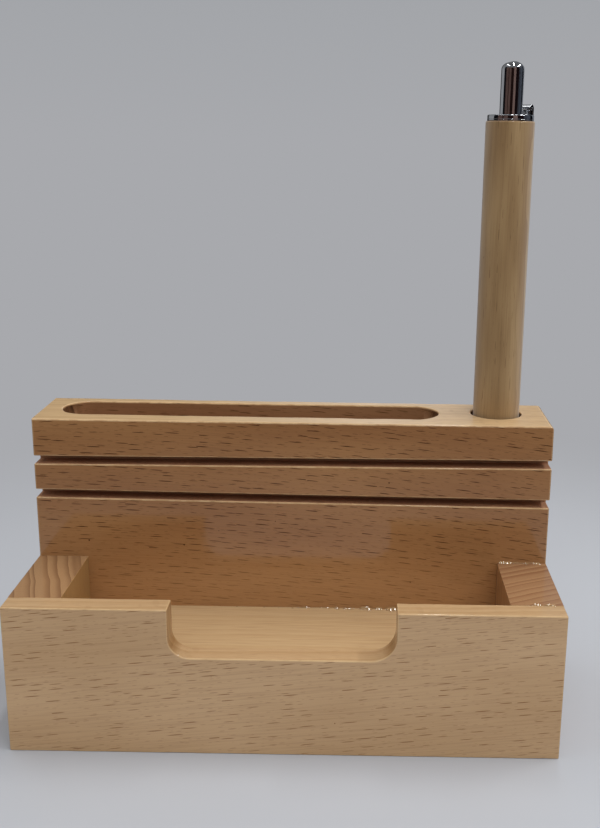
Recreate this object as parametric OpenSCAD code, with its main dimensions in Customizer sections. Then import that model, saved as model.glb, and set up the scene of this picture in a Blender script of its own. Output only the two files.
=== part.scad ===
// Beech desk stand with a card tray, an accessory slot and a click pen in its hole.
// The origin is under the middle of the stand: +X to the right, +Y to the back, +Z up, millimetres.

/* [Stand] */
// Overall width of the stand
stand_w = 120; // [112:1:140]
// Height of the back block
back_h = 67.3; // [66:0.1:76]
// Thickness of the back block, front to back
back_t = 20.5; // [19.5:0.5:26]
// Height of the front panel and of the end blocks
tray_h = 33.8; // [31:0.1:38]
// Thickness of the front panel
panel_t = 5.5; // [4:0.5:8]
// Depth of the card tray, front to back
tray_d = 24; // [20:0.5:36]
// Width of the left end block
left_end_w = 11.5; // [8:0.1:16]
// Width of the right end block
right_end_w = 11.6; // [8:0.1:16]
// Height of the tray floor above the table
floor_h = 21.5; // [16:0.5:22]

/* [Finger notch] */
// Width of the notch in the front panel
notch_w = 48.6; // [30:0.2:60]
// Distance of the notch's middle to the right of the panel's middle
notch_shift = -0.4; // [-4:0.1:4]
// Height of the notch's lower edge above the table
notch_z = 22.7; // [22.2:0.1:25]
// Radius of the notch's lower left corner
notch_left_r = 4.5; // [2:0.1:5.5]
// Radius of the notch's lower right corner
notch_right_r = 5.4; // [2:0.1:5.5]

/* [Accessory slot] */
// Distance from the stand's left side to the slot
slot_from_left = 4.5; // [3:0.1:10]
// Distance from the back block's front face to the slot
slot_from_front = 5.2; // [5:0.1:6]
// Width of the round-ended slot
slot_w = 12.5; // [10:0.1:13]
// Depth of the slot below the block's top
slot_depth = 7; // [5:0.1:7.2]
// Wood between the slot's right end and the pen hole
slot_to_hole = 7.9; // [4:0.1:20]

/* [Saw kerfs] */
// Height of a kerf
kerf_h = 1.9; // [1:0.1:2.4]
// Depth of a kerf into the front face
kerf_depth = 4.8; // [2:0.1:4.9]
// Distance of the upper kerf's middle below the block's top
upper_kerf_drop = 9.55; // [9.3:0.05:10]
// Distance of the lower kerf's middle below the block's top
lower_kerf_drop = 18.4; // [14:0.05:22]
// Slope of the upper kerf, up to the right, in degrees
upper_kerf_tilt = 0.3; // [-0.3:0.1:0.3]
// Slope of the lower kerf, up to the right, in degrees
lower_kerf_tilt = -0.4; // [-0.6:0.1:0.6]

/* [Pen hole] */
// Distance of the hole's axis from the stand's right side
hole_from_right = 12; // [10:0.1:16]
// Distance of the hole's axis from the back block's front face
hole_from_front = 12.3; // [11.8:0.1:12.6]
// Slack of the pen in its hole, on the diameter
hole_slack = 1; // [0.6:0.1:1.4]
// Height of the hole's floor above the table
hole_floor = 7.5; // [7:0.1:10]
// Diameter of the pilot left by the drill's centre point
pilot_d = 3; // [2.8:0.1:3.6]
// Depth of that pilot below the hole's floor
pilot_depth = 5; // [4.6:0.1:5.5]

/* [Pen] */
// Diameter of the wooden barrel
pen_d = 11; // [10.8:0.1:11.6]
// Length of the wooden barrel
barrel_l = 111.15; // [108:0.05:120]
// Height of the metal nose cone
nose_h = 16; // [14:0.5:18]
// Diameter of the collar at the barrel's top
collar_d = 10.4; // [10:0.1:10.4]
// Diameter of the push button
button_d = 5.1; // [4.8:0.1:5.2]
// Length of the button above the collar
button_l = 11.4; // [10:0.1:13]
// Height of the button's dome
dome_h = 1.8; // [1:0.1:2.5]
// Travel of the button and of the refill below it
press_travel = 5.5; // [4:0.1:5.5]
// Length of the pocket clip
clip_l = 38; // [30:0.5:44]
// Width of the pocket clip at its bend
clip_w = 4.2; // [3:0.1:4.6]
// Direction of the clip, counted from +X towards +Y, in degrees
clip_angle = 55; // [50:1:70]

/* [Hidden] */
$fn = 64;
cut = 1; // how far a cutter runs past the face that it opens

// Where the stand's faces lie
stand_d = panel_t + tray_d + back_t;
left_x = -stand_w / 2;
right_x = stand_w / 2;
front_y = -stand_d / 2;
tray_y = front_y + panel_t;
back_y = tray_y + tray_d;

// The finger notch, the slot and the pen hole
notch_left = notch_shift - notch_w / 2;
notch_right = notch_shift + notch_w / 2;
hole_d = pen_d + hole_slack;
hole_x = right_x - hole_from_right;
hole_y = back_y + hole_from_front;
slot_r = slot_w / 2;
slot_left = left_x + slot_from_left;
slot_right = hole_x - hole_d / 2 - slot_to_hole;
slot_y = back_y + slot_from_front + slot_r;
slot_floor = back_h - slot_depth;

// Beads of glue pressed out of the joints
bead = 0.6;
bead_proud = 0.25;

// Heights along the pen, from its nose upwards
seat_gap = 0.05;
end_gap = 0.1; // gap where one moving piece stops against another
pen_z = hole_floor + seat_gap;
barrel_z = pen_z + nose_h;
barrel_top = barrel_z + barrel_l;
washer_t = 0.4;
collar_t = 1;
collar_top = barrel_top + washer_t + collar_t;
button_top = collar_top + button_l;
skirt_l = 4;
skirt_z = barrel_top - skirt_l;
flange_t = 1.5;
flange_z = skirt_z - end_gap - flange_t;

// Bores and fits inside the pen
bore_d = 8;
glue_gap = 0.05; // gap on the radius where a piece is glued or pressed in
slide_gap = 0.15; // gap on the radius where a piece slides
insert_d = bore_d - 2 * glue_gap;

// Nose cone, its thread and the refill's spring chamber
nose_tip_r = 2.2;
nose_step = 0.2;
nose_top_r = pen_d / 2 - nose_step;
nose_tip_hole_d = 2.6;
nose_ledge = 5.5;
chamber_d = 4.7;
thread_d = 6.3;
thread_l = 7;
bush_l = 10;

// Click mechanism
sleeve_in_d = 6.6;
sleeve_l = 26.6;
sleeve_z = skirt_z - sleeve_l;
flange_d = 6.2;
stem_d = 4;
stem_l = 9.9;
crown_d = 5.4;
crown_l = 9.5;
crown_z = flange_z - crown_l;
tooth_h = 1.2;
tooth_count = 8;
tooth_w = PI * crown_d / tooth_count;
rib_count = 4;
rib_w = 2;
rib_in_r = crown_d / 2 + slide_gap;
rib_z = crown_z - tooth_h;
rib_clear = 0.5;
rib_l = flange_z - press_travel - rib_clear - rib_z;
key_w = 1.2;
key_r = 3.1;
key_in_r = 2.2;
key_l = 8;
rotor_gap = 0.4;
rotor_l = 8.7;
rotor_top = crown_z - 2 * tooth_h - rotor_gap;
rotor_z = rotor_top - rotor_l;
rotor_foot = 1.5;
rotor_rib_l = 6.5;
socket_depth = 5;

// Refill and its spring
refill_d = 3;
refill_in_d = 2;
refill_top = rotor_z + socket_depth - end_gap;
tip_set_back = 1.8;
ball_d = 0.7;
ball_z = pen_z + tip_set_back + ball_d / 2;
ball_play = 0.02;
tip_lip_r = 0.45;
tip_d = 2.3;
tip_cone_l = 3;
ball_out = 0.1; // how far the tip's lip reaches below the ball's middle
tip_z = ball_z - ball_out;
spring_z = pen_z + nose_ledge;
spring_room = 17;
spring_l = spring_room - end_gap;
shoulder_z = spring_z + spring_room;
shoulder_d = 4.2;
shoulder_t = 1;
tube_z = shoulder_z + shoulder_t;
plug_l = 4;
ink_l = 64;
wire_d = 0.4;
coil_r = 1.9;
turns = 9;
wire_sides = 8;
steps_per_turn = 16;

// Pocket clip, in its own plane: u outwards from the pen's axis, z up
clip_t = 0.6;
tab_u = collar_d / 2 + glue_gap;
bend_r = 1;
bend_u = tab_u + bend_r;
bend_rise = 1.4;
bend_z = collar_top + bend_rise;
flex_gap = 0.15;
clip_end_r = 1.8;
clip_end_z = bend_z - clip_l + clip_end_r;
dimple_r = 0.9;
dimple_up = 4;
toe_l = 3;
arm_lean = 0.5;

// Middle line of the spring's wire: one close turn at each end, open turns between
close_pitch = wire_d * 1.1;
open_pitch = (spring_l - wire_d - 2 * close_pitch) / (turns - 2);
function coil_z(turn) = close_pitch * (min(turn, 1) + max(turn - turns + 1, 0))
    + open_pitch * min(max(turn - 1, 0), turns - 2);
function wire_point(step, side) =
    let (turn = step / steps_per_turn, around = 360 * turn, about = 360 * side / wire_sides)
    let (r = coil_r + wire_d / 2 * cos(about))
    [r * cos(around), r * sin(around), wire_d / 2 + coil_z(turn) + wire_d / 2 * sin(about)];

// Puts a piece of the pen on the axis of the pen hole
module on_pen_axis(z = 0) {
    translate([hole_x, hole_y, z]) children();
}

// Round tube that stands on z = 0
module tube(outer_d, inner_d, length) {
    difference() {
        cylinder(d = outer_d, h = length);
        translate([0, 0, -cut]) cylinder(d = inner_d, h = length + 2 * cut);
    }
}

// Bars that stand out round an axis, from radius r0 to r1
module bars(count, first_angle, r0, r1, width, length) {
    for (i = [0 : count - 1])
        rotate(first_angle + i * 360 / count)
            translate([r0, -width / 2, 0]) cube([r1 - r0, width, length]);
}

// Ring of saw teeth that stand on z = 0, as on the two cams of a click pen
module crown_teeth() {
    root = 0.1;
    inner_r = 1.7;
    half = tooth_w / 2;
    peak = 0.8 * half;
    intersection() {
        translate([0, 0, -root]) cylinder(d = crown_d, h = tooth_h + 2 * root);
        union()
            for (i = [0 : tooth_count - 1])
                rotate([90, 0, 90 + i * 360 / tooth_count])
                    translate([0, 0, inner_r])
                        linear_extrude(crown_d / 2)
                            polygon([[-half, -root], [half, -root], [half, 0], [peak, tooth_h], [-half, 0]]);
    }
}

// Slopes about the middle of the block's front face
module kerf(drop, tilt) {
    translate([0, back_y, back_h - drop])
        rotate([0, -tilt, 0])
            translate([-stand_w / 2 - cut, -cut, -kerf_h / 2])
                cube([stand_w + 2 * cut, kerf_depth + cut, kerf_h]);
}

// Round-ended slot, cut from the top
module slot_cut() {
    translate([slot_left + slot_r, slot_y - slot_r, slot_floor])
        cube([slot_right - slot_left - slot_w, slot_w, slot_depth + cut]);
    for (x = [slot_left + slot_r, slot_right - slot_r])
        translate([x, slot_y, slot_floor]) cylinder(r = slot_r, h = slot_depth + cut);
}

// Thick upright at the back that carries the slot, the kerfs and the pen hole
module back_block() {
    color("#9b7248")
        difference() {
            translate([left_x, back_y, 0]) cube([stand_w, back_t, back_h]);
            slot_cut();
            kerf(upper_kerf_drop, upper_kerf_tilt);
            kerf(lower_kerf_drop, lower_kerf_tilt);
            on_pen_axis(hole_floor) cylinder(d = hole_d, h = back_h - hole_floor + cut);
            on_pen_axis(hole_floor - pilot_depth) cylinder(d = pilot_d, h = pilot_depth + cut);
        }
}

// Notch outline in the panel's plane, with its two lower corners round
module notch_outline() {
    above = tray_h + cut;
    left_r = notch_left_r;
    right_r = notch_right_r;
    translate([notch_left, notch_z + left_r]) square([notch_w / 2, above - notch_z - left_r]);
    translate([notch_shift, notch_z + right_r]) square([notch_w / 2, above - notch_z - right_r]);
    translate([notch_left + left_r, notch_z]) square([notch_w - left_r - right_r, above - notch_z]);
    translate([notch_left + left_r, notch_z + left_r]) circle(r = left_r);
    translate([notch_right - right_r, notch_z + right_r]) circle(r = right_r);
}

// Thin board across the front, with a notch to push the cards up by
module front_panel() {
    color("#b08d63")
        difference() {
            translate([left_x, front_y, 0]) cube([stand_w, panel_t, tray_h]);
            translate([0, tray_y + cut, 0])
                rotate([90, 0, 0])
                    linear_extrude(panel_t + 2 * cut) notch_outline();
        }
}

// Uprights that close the tray's two ends, with their end grain on top
module left_end_block() {
    color("#a97f57")
        translate([left_x, tray_y, 0]) cube([left_end_w, tray_d, tray_h]);
}

module right_end_block() {
    color("#a5764e")
        translate([right_x - right_end_w, tray_y, 0]) cube([right_end_w, tray_d, tray_h]);
}

// Bar between the end blocks, whose top is the floor of the card tray
module tray_floor() {
    color("#bf9b70")
        translate([left_x + left_end_w, tray_y, 0])
            cube([stand_w - left_end_w - right_end_w, tray_d, floor_h]);
}

// Three-cornered bead of glue along X, in the corner below a wall that faces the front
module corner_bead(x0, x1, z) {
    translate([x0, back_y, z])
        rotate([90, 0, 90])
            linear_extrude(x1 - x0) polygon([[0, 0], [0, bead], [-bead, 0]]);
}

// Dried glue where it was pressed out of the joints
module glue_beads() {
    inner_right = right_x - right_end_w;
    top_inset = 2;
    top_l = 8;
    color("#d8b98a") {
        corner_bead(0, inner_right, floor_h);
        corner_bead(inner_right, right_x, tray_h);
        translate([inner_right + top_inset, tray_y, tray_h])
            rotate([90, 0, 90])
                linear_extrude(top_l) polygon([[-bead / 2, 0], [bead / 2, 0], [0, bead_proud]]);
    }
}

// Turned wooden barrel, bored from end to end
module pen_barrel() {
    color("#a98a57")
        on_pen_axis(barrel_z) tube(pen_d, bore_d, barrel_l);
}

// Brass bush glued into the barrel's lower end, which the nose cone screws into
module nose_bush() {
    color("#c9a24a")
        on_pen_axis(barrel_z) tube(insert_d, thread_d + 2 * glue_gap, bush_l);
}

// Plated nose: an arc from the tip up to the barrel, then the stub that screws in
module nose_cone() {
    rise = nose_top_r - nose_tip_r;
    arc_r = (rise * rise + nose_h * nose_h) / (2 * rise);
    arc_angle = asin(nose_h / arc_r);
    arc_steps = 10;
    side = [for (i = [0 : arc_steps])
        let (a = arc_angle * (i / arc_steps - 1))
        [nose_top_r - arc_r + arc_r * cos(a), nose_h + arc_r * sin(a)]];
    top = nose_h + thread_l;
    stub = [[thread_d / 2, nose_h], [thread_d / 2, top], [chamber_d / 2, top]];
    bore = [[chamber_d / 2, nose_ledge], [nose_tip_hole_d / 2, nose_ledge], [nose_tip_hole_d / 2, 0]];
    color("#c8cacc")
        on_pen_axis(pen_z) rotate_extrude() polygon(concat(side, stub, bore));
}

// Stamped washer under the collar, with the tab that the clip springs from
module clip_washer() {
    tab_h = bend_z - flex_gap - barrel_top;
    ear_in = collar_d / 2 - washer_t;
    color("#c8cacc")
        on_pen_axis(barrel_top) {
            tube(collar_d, bore_d, washer_t);
            rotate(clip_angle) {
                translate([ear_in, -clip_w / 2, 0]) cube([tab_u + clip_t - ear_in, clip_w, washer_t]);
                translate([tab_u, -clip_w / 2, 0]) cube([clip_t, clip_w, tab_h]);
            }
        }
}

// Collar that holds the washer down and guides the button
module clip_collar() {
    rim_z = skirt_l + washer_t;
    button_hole_r = button_d / 2 + end_gap;
    edge = 0.2;
    r = collar_d / 2;
    color("#c8cacc")
        on_pen_axis(skirt_z)
            rotate_extrude()
                polygon([[button_hole_r, 0], [insert_d / 2, 0], [insert_d / 2, rim_z], [r, rim_z],
                    [r, rim_z + collar_t - edge], [r - edge, rim_z + collar_t],
                    [button_hole_r, rim_z + collar_t]]);
}

// Side view of the clip: its bend over the tab, then the arm down to a lifted toe
module clip_side() {
    low = bend_z - clip_l;
    arm_in = bend_u + bend_r - clip_t;
    translate([bend_u, bend_z])
        difference() {
            circle(r = bend_r);
            circle(r = bend_r - clip_t);
            translate([-2 * bend_r, -2 * bend_r]) square([4 * bend_r, 2 * bend_r]);
        }
    arm_out = arm_in + clip_t;
    polygon([[arm_in, bend_z], [arm_out, bend_z], [arm_out - arm_lean, low + dimple_up + 1],
        [arm_out - arm_lean, low + toe_l], [arm_out, low], [arm_in, low],
        [arm_in - arm_lean, low + toe_l], [arm_in - arm_lean, low + dimple_up + 1]]);
}

// Face view of the clip, which narrows to a round end
module clip_face() {
    top = bend_z + bend_r + cut;
    translate([0, clip_end_z]) circle(r = clip_end_r);
    polygon([[-clip_end_r, clip_end_z], [clip_end_r, clip_end_z], [clip_w / 2, bend_z], [clip_w / 2, top],
        [-clip_w / 2, top], [-clip_w / 2, bend_z]]);
}

// Spring arm of the clip, with the dimple that grips a pocket's edge
module clip_arm() {
    reach = bend_u + 2 * bend_r;
    dimple_u = pen_d / 2 + end_gap + dimple_r;
    color("#c8cacc")
        on_pen_axis()
            rotate(clip_angle) {
                intersection() {
                    rotate([90, 0, 0]) linear_extrude(clip_w, center = true) clip_side();
                    rotate([90, 0, 90]) linear_extrude(reach) clip_face();
                }
                translate([dimple_u, 0, bend_z - clip_l + dimple_up]) sphere(r = dimple_r);
            }
}

// Moulded sleeve with the stop ribs that the click mechanism runs between
module guide_sleeve() {
    wall_in = sleeve_in_d / 2;
    rib_root = 0.1;
    color("#e8e6df")
        on_pen_axis() {
            translate([0, 0, sleeve_z]) tube(insert_d, sleeve_in_d, sleeve_l);
            intersection() {
                translate([0, 0, sleeve_z]) cylinder(d = insert_d, h = sleeve_l);
                translate([0, 0, rib_z])
                    bars(rib_count, 0, rib_in_r, wall_in + rib_root, rib_w, rib_l);
            }
        }
}

// Plated push button, hollow for the plunger's stem, with the flange that keeps it in
module click_button() {
    r = button_d / 2;
    shaft_top = button_top - dome_h;
    dome_steps = 10;
    dome = [for (i = [0 : dome_steps])
        let (a = 90 * i / dome_steps)
        [r * cos(a), shaft_top + dome_h * sin(a)]];
    hollow_r = stem_d / 2 + glue_gap;
    hollow_top = flange_z + stem_l + end_gap;
    flange_top = flange_z + flange_t;
    color("#c8cacc")
        on_pen_axis()
            rotate_extrude()
                polygon(concat(dome, [[0, hollow_top], [hollow_r, hollow_top], [hollow_r, flange_z],
                    [flange_d / 2, flange_z], [flange_d / 2, flange_top], [r, flange_top]]));
}

// Moulded plunger under the button: stem, keys between the stop ribs, and a crown of teeth
module plunger_crown() {
    color("#e8e6df")
        on_pen_axis() {
            translate([0, 0, flange_z]) cylinder(d = stem_d, h = stem_l);
            translate([0, 0, crown_z]) cylinder(d = crown_d, h = crown_l);
            translate([0, 0, flange_z - key_l]) bars(rib_count, 45, key_in_r, key_r, key_w, key_l);
            translate([0, 0, crown_z]) mirror([0, 0, 1]) crown_teeth();
        }
}

// Moulded cam that turns a step at each click and pushes the refill
module rotor_cam() {
    color("#3a6fb0")
        on_pen_axis(rotor_z) {
            difference() {
                union() {
                    cylinder(d = crown_d, h = rotor_l);
                    translate([0, 0, rotor_foot]) bars(rib_count, 45, key_in_r, key_r, key_w, rotor_rib_l);
                }
                translate([0, 0, -cut]) cylinder(d = refill_d + 2 * slide_gap, h = socket_depth + cut);
            }
            translate([0, 0, rotor_l]) crown_teeth();
        }
}

// Plastic tube of the refill
module refill_tube() {
    color("#dcdfe2")
        on_pen_axis(tube_z) tube(refill_d, refill_in_d, refill_top - tube_z);
}

// Ink that stands in the tube above the tip
module ink_column() {
    color("#16245c")
        on_pen_axis(tube_z + plug_l) cylinder(d = refill_in_d - 2 * glue_gap, h = ink_l);
}

// Metal writing tip: cone, neck through the spring, shoulder and the plug in the tube
module refill_tip() {
    neck_z = tip_z + tip_cone_l;
    plug_r = refill_in_d / 2 - glue_gap;
    color("#b9b08f")
        on_pen_axis()
            difference() {
                rotate_extrude()
                    polygon([[0, tip_z], [tip_lip_r, tip_z], [tip_d / 2, neck_z], [tip_d / 2, shoulder_z],
                        [shoulder_d / 2, shoulder_z], [shoulder_d / 2, tube_z], [plug_r, tube_z],
                        [plug_r, tube_z + plug_l], [0, tube_z + plug_l]]);
                translate([0, 0, ball_z]) sphere(d = ball_d + 2 * ball_play);
            }
}

// Ball that rolls the ink on
module writing_ball() {
    color("#8e9296")
        on_pen_axis(ball_z) sphere(d = ball_d);
}

// Coil spring between the nose cone's ledge and the refill's shoulder
module return_spring() {
    rings = turns * steps_per_turn;
    points = [for (i = [0 : rings], j = [0 : wire_sides - 1]) wire_point(i, j)];
    skin = [for (i = [0 : rings - 1], j = [0 : wire_sides - 1])
        let (next = (j + 1) % wire_sides, low = i * wire_sides, high = low + wire_sides)
        [low + j, high + j, high + next, low + next]];
    first = [for (j = [0 : wire_sides - 1]) j];
    last = [for (j = [wire_sides - 1 : -1 : 0]) rings * wire_sides + j];
    color("#8a8d90")
        on_pen_axis(spring_z) polyhedron(points, concat(skin, [first, last]));
}

back_block();
front_panel();
left_end_block();
right_end_block();
tray_floor();
glue_beads();
pen_barrel();
nose_bush();
nose_cone();
clip_washer();
clip_collar();
clip_arm();
guide_sleeve();
click_button();
plunger_crown();
rotor_cam();
refill_tube();
ink_column();
refill_tip();
writing_ball();
return_spring();
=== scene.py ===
import math
import random

import bmesh
import bpy
from mathutils import Matrix, Vector, noise


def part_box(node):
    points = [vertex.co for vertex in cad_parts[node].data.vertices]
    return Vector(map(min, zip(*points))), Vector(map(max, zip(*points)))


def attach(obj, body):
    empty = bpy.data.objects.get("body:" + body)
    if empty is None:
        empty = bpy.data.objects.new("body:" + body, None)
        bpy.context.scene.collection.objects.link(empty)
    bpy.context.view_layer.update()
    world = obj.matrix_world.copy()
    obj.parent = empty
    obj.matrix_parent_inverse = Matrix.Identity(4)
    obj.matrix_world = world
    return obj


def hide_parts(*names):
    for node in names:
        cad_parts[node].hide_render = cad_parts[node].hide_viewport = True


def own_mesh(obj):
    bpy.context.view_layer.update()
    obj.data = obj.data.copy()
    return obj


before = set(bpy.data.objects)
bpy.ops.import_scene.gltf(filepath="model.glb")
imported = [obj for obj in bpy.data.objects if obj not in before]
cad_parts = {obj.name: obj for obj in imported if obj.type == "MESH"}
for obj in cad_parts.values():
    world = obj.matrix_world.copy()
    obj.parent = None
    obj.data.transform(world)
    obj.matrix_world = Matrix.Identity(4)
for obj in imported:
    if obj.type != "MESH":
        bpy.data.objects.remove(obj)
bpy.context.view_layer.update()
scene = bpy.context.scene
MM = 0.001

# Camera. The picture is taken from a little right of the stand's middle, a hand's breadth above the tray,
# looking 15 degrees down. It is a crop of a larger picture, so the lens is shifted.
IMAGE_W, IMAGE_H = 600, 828
FOCAL_PIXELS = 1072.2
LENS_PIXEL = (357.3, 424.2)
CAMERA_PLACE = Vector((15.15, -232.9, 130.3)) * MM
LOOK_DOWN, LOOK_LEFT, ROLL = 0.2598, 0.0015, 0.0155
SENSOR = 36.0
camera = bpy.data.objects.new("photo_camera", bpy.data.cameras.new("photo_camera"))
camera.data.sensor_width = SENSOR
camera.data.lens = FOCAL_PIXELS * SENSOR / IMAGE_H
camera.data.shift_x = (IMAGE_W / 2 - LENS_PIXEL[0]) / IMAGE_H
camera.data.shift_y = (LENS_PIXEL[1] - IMAGE_H / 2) / IMAGE_H
camera.data.clip_start = 10 * MM
camera.matrix_world = (
    Matrix.Translation(CAMERA_PLACE)
    @ Matrix.Rotation(LOOK_LEFT, 4, "Z")
    @ Matrix.Rotation(math.pi / 2 - LOOK_DOWN, 4, "X")
    @ Matrix.Rotation(ROLL, 4, "Z")
)
scene.collection.objects.link(camera)
scene.camera = camera
scene.view_settings.view_transform = "Standard"


# Table and light. A pale matt table top under strip lights on the ceiling, a little to the right, with an
# even dome of fill light. Cards round the camera's side are there for the plating to mirror.
def srgb(hex_colour):
    """Linear colour of an sRGB hex value such as "b89468"."""
    parts = [int(hex_colour[start:start + 2], 16) / 255 for start in (0, 2, 4)]
    return [part / 12.92 if part <= 0.04045 else ((part + 0.055) / 1.055) ** 2.4 for part in parts] + [1.0]


def add(tree, kind, sockets=None, **settings):
    """Adds one node. Its sockets are named or counted, and take a value, a node or a node's output."""
    made = tree.nodes.new("ShaderNode" + kind)
    for key, value in settings.items():
        setattr(made, key, value)
    for key, value in (sockets or {}).items():
        live = [each for each in made.inputs if each.enabled]
        socket = live[key] if isinstance(key, int) else next(each for each in live if each.name == key)
        if isinstance(value, bpy.types.Node):
            value = next(each for each in value.outputs if each.enabled)
        if isinstance(value, bpy.types.NodeSocket):
            tree.links.new(value, socket)
        else:
            socket.default_value = value
    return made


WALL_COLOUR = "a8a9ad"
BRIGHT_X, BRIGHT_REACH, BRIGHT_GAIN = 0.015, 0.19, 2.2
scene.world = bpy.data.worlds.new("soft_dome")
scene.world.use_nodes = True
tree = scene.world.node_tree
tree.nodes.clear()
toward = add(tree, "TexCoord").outputs["Generated"]
sight = add(tree, "SeparateXYZ", {0: toward}).outputs
up = sight["Z"]
fill = add(tree, "MapRange", {"Value": up, "To Min": 0.34, "To Max": 0.5})
mirrored = add(tree, "MapRange", {"Value": up, "To Min": 0.38, "To Max": 0.12})

# The wall is brightest straight behind the stand, which shows mostly in the lacquer on the block's top
aside = add(tree, "Math", {0: sight["X"], 1: BRIGHT_X}, operation="SUBTRACT")
aside = add(tree, "Math", {0: aside}, operation="ABSOLUTE")
gain = add(tree, "MapRange", {
    "Value": aside, "From Max": BRIGHT_REACH, "To Min": BRIGHT_GAIN, "To Max": 0.0,
})
behind = add(tree, "MapRange", {"Value": sight["Y"], "From Min": 0.7, "From Max": 0.9})
gain = add(tree, "Mix", {"Factor": behind, "A": 1.0, "B": gain})
mirrored = add(tree, "Math", {0: mirrored, 1: gain}, operation="MULTIPLY")

# The camera sees the wall's own grey, and everything else the dome's light
rays = add(tree, "LightPath").outputs
strength = add(tree, "Mix", {"Factor": rays["Is Glossy Ray"], "A": fill, "B": mirrored})
dome = add(tree, "Background", {"Color": srgb("fbfcff"), "Strength": strength})
higher = add(tree, "MapRange", {"Value": up, "From Max": 0.12})
shade = add(tree, "Mix", {"Factor": higher, "A": srgb(WALL_COLOUR), "B": srgb("a3a5a9")}, data_type="RGBA")
wall = add(tree, "Background", {"Color": shade, "Strength": 1.0})
add(tree, "OutputWorld", {"Surface": add(tree, "MixShader", {0: rays["Is Camera Ray"], 1: dome, 2: wall})})


def soft_light(name, place, width, length, watts, back_degrees=0):
    """A lamp of that size in metres, which shines straight down or tipped towards the back."""
    lamp = bpy.data.objects.new(name, bpy.data.lights.new(name, "AREA"))
    lamp.data.shape = "RECTANGLE"
    lamp.data.size, lamp.data.size_y, lamp.data.energy = width, length, watts
    lamp.location, lamp.rotation_euler.x = place, math.radians(back_degrees)
    scene.collection.objects.link(lamp)
    return lamp


soft_light("ceiling_strip_left", (-0.34, 0.05, 0.85), 0.05, 0.7, 0.9)
soft_light("ceiling_strip_middle", (0.10, -0.02, 0.85), 0.05, 0.7, 1.8)
soft_light("ceiling_strip_right", (0.56, 0.0, 0.75), 0.05, 0.7, 3.4)
soft_light("front_fill", (0.1, -0.55, 0.65), 0.6, 0.4, 1.2, back_degrees=40).visible_glossy = False


def flat_sheet(name, corners, material):
    """A sheet through its corners, in metres, which is stage and not part of the object."""
    mesh = bpy.data.meshes.new(name)
    mesh.from_pydata(corners, [], [range(len(corners))])
    mesh.materials.append(material)
    sheet = bpy.data.objects.new(name, mesh)
    scene.collection.objects.link(sheet)
    return sheet


def new_material(name):
    """A material with an empty node tree to build a finish in."""
    material = bpy.data.materials.new(name)
    material.use_nodes = True
    material.node_tree.nodes.clear()
    return material, material.node_tree


# Laminate, pressed matt: dead flat and very slightly uneven. Far off it fades into a glow of the wall's
# grey, and in reflections into a dark grey glow, which is painted shade.
FADE_FROM, FADE_TO = 90 * MM, 270 * MM
laminate, tree = new_material("laminate_pressed_matt")
place = add(tree, "TexCoord").outputs["Object"]
mottle = add(tree, "TexNoise", {"Vector": place, "Scale": 1 / (60 * MM), "Detail": 2.0})
pale = add(tree, "Mix", {"Factor": mottle, "A": srgb("b7babf"), "B": srgb("bcbec3")}, data_type="RGBA")
board = add(tree, "BsdfPrincipled", {"Base Color": pale, "Roughness": 0.6, "Specular IOR Level": 0.3})
away = add(tree, "VectorMath", {0: place}, operation="LENGTH")
faded = add(
    tree, "MapRange", {"Value": away, "From Min": FADE_FROM, "From Max": FADE_TO},
    interpolation_type="SMOOTHSTEP",
)
rays = add(tree, "LightPath").outputs
looked_at = add(tree, "Math", {0: rays["Is Camera Ray"], 1: rays["Is Glossy Ray"]}, operation="MAXIMUM")
share = add(tree, "Math", {0: faded, 1: looked_at}, operation="MULTIPLY")
# Reflections see the far table as a dark grey glow: painted shade
backdrop_and_painted_shade = {"A": srgb(WALL_COLOUR), "B": srgb("4a4644")}
seen = add(tree, "Mix", {"Factor": rays["Is Glossy Ray"], **backdrop_and_painted_shade}, data_type="RGBA")
far_glow_and_shade = add(tree, "Emission", {"Color": seen, "Strength": 1.0})
add(tree, "OutputMaterial", {"Surface": add(tree, "MixShader", {0: share, 1: board, 2: far_glow_and_shade})})
TABLE_HALF = 8.0
corners = [(x * TABLE_HALF, y * TABLE_HALF, 0) for x, y in ((-1, -1), (1, -1), (1, 1), (-1, 1))]
flat_sheet("table_top", corners, laminate)

# Card, dyed and matt: each stands over a range of angles from straight in front, to the right
CARD_DISTANCE, CARD_H = 0.7, 0.6
for start, end, colour in (
    (-100, -72, "17171a"), (-72, -46, "705850"), (-46, -40, "2a1a17"), (-40, -18, "705850"),
    (-18, 10, "2a1a17"), (10, 32, "8d736a"), (32, 64, "1c1112"), (64, 82, "44464c"),
    (82, 108, "50545c"), (108, 128, "0b0d11"), (128, 165, "85888e"),
):
    card, tree = new_material(f"card_dyed_{colour}")
    add(tree, "OutputMaterial", {"Surface": add(tree, "BsdfDiffuse", {"Color": srgb(colour)})})
    foot = [
        (CARD_DISTANCE * math.sin(math.radians(angle)), -CARD_DISTANCE * math.cos(math.radians(angle)))
        for angle in (start, end)
    ]
    corners = [(*foot[0], 0), (*foot[1], 0), (*foot[1], CARD_H), (*foot[0], CARD_H)]
    sheet = flat_sheet(f"card_{start}", corners, card)
    sheet.visible_camera = sheet.visible_diffuse = sheet.visible_transmission = sheet.visible_shadow = False


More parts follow.
